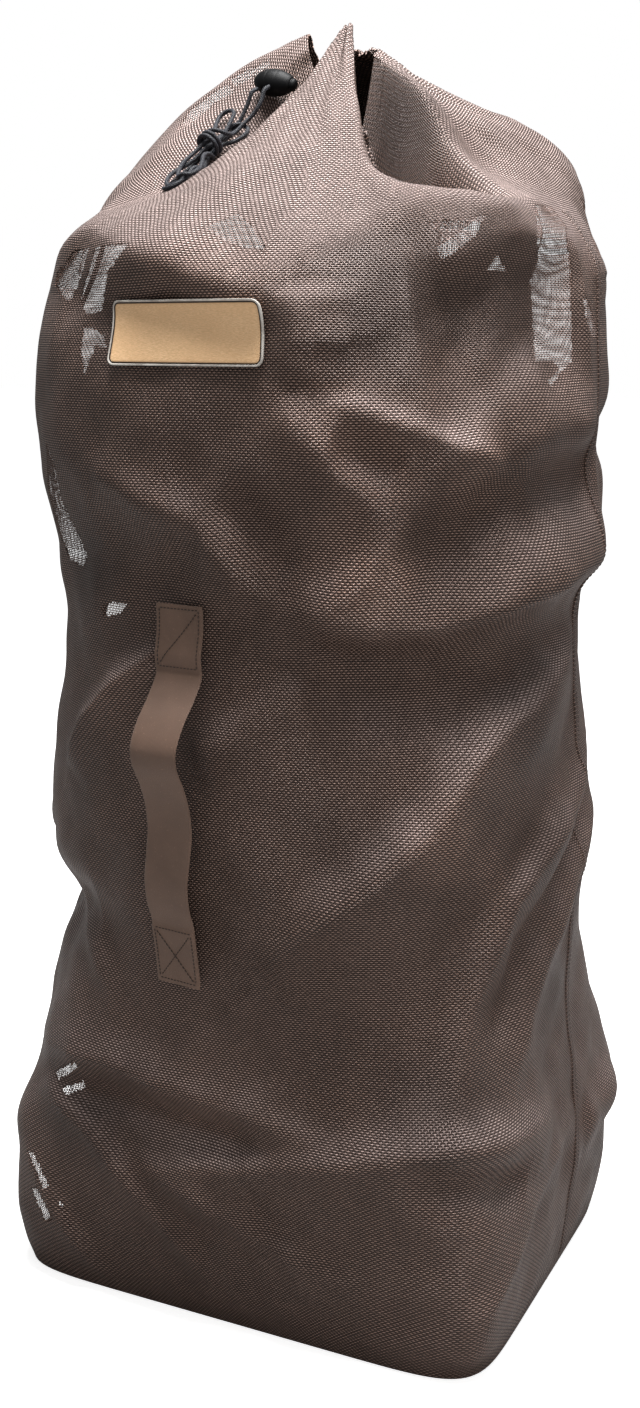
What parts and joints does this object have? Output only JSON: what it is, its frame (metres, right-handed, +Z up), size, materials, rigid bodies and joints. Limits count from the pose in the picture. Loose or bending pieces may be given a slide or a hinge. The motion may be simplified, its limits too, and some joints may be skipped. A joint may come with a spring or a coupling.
{
  "type": "decoy bag",
  "caption": "Tall drawstring bag of woven mesh cloth, hollow, standing full on a flat base, with a webbing grab handle, a blank patch, a cord lock and shoulder straps at the back.",
  "frame": {"origin": "centre of the base on the floor, on the base panel's lower face", "axes": "+Z up the bag to its mouth, -Y is the front with the grab handle and the patch, +X is the bag's side at the right of a viewer who faces its front"},
  "size_m": [0.511, 0.5383, 1.121],
  "materials": {
    "mesh_cloth": "open woven mesh cloth with a soft sheen",
    "base_cloth": "close plain weave, matt",
    "webbing": "ribbed webbing",
    "strap_webbing": "ribbed webbing",
    "patch": "plain patch, satin",
    "toggle": "moulded, matt",
    "cord": "braided cord"
  },
  "bodies": {
    "root": {"mesh_body": "mesh_cloth", "base_panel": "base_cloth", "grab_handle": "webbing", "label_patch": "patch", "shoulder_strap_right": "strap_webbing", "shoulder_strap_left": "strap_webbing", "cord_lock": "toggle", "cord_hank": "cord", "draw_cord_a": "cord", "draw_cord_b": "cord"}
  },
  "joints": []
}
